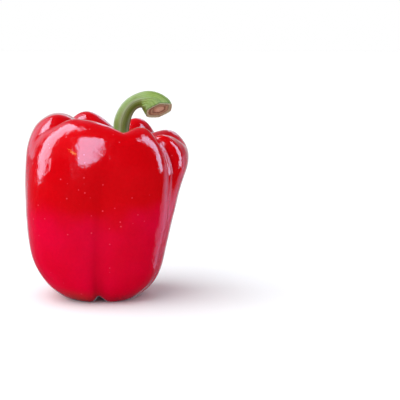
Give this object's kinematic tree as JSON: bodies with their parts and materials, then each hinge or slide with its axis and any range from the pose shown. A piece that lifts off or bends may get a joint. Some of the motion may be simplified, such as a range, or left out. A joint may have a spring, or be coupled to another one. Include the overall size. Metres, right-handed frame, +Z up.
{
  "type": "bell pepper",
  "caption": "Ripe red blocky bell pepper as picked, standing on the tips of its lobes, with its green calyx and its cut, hooked stem.",
  "frame": {"origin": "on the surface that the pepper stands on, under the middle of its bounding box", "axes": "+Z up through the fruit towards the stem; the stem hooks over towards +X and the fruit's broad front lobe faces -Y"},
  "size_m": [0.0878, 0.0812, 0.1114],
  "materials": {
    "skin": "gloss",
    "calyx": "satin",
    "stem": "satin"
  },
  "bodies": {
    "root": {"fruit": "skin", "calyx": "calyx", "stem": "stem"}
  },
  "joints": []
}
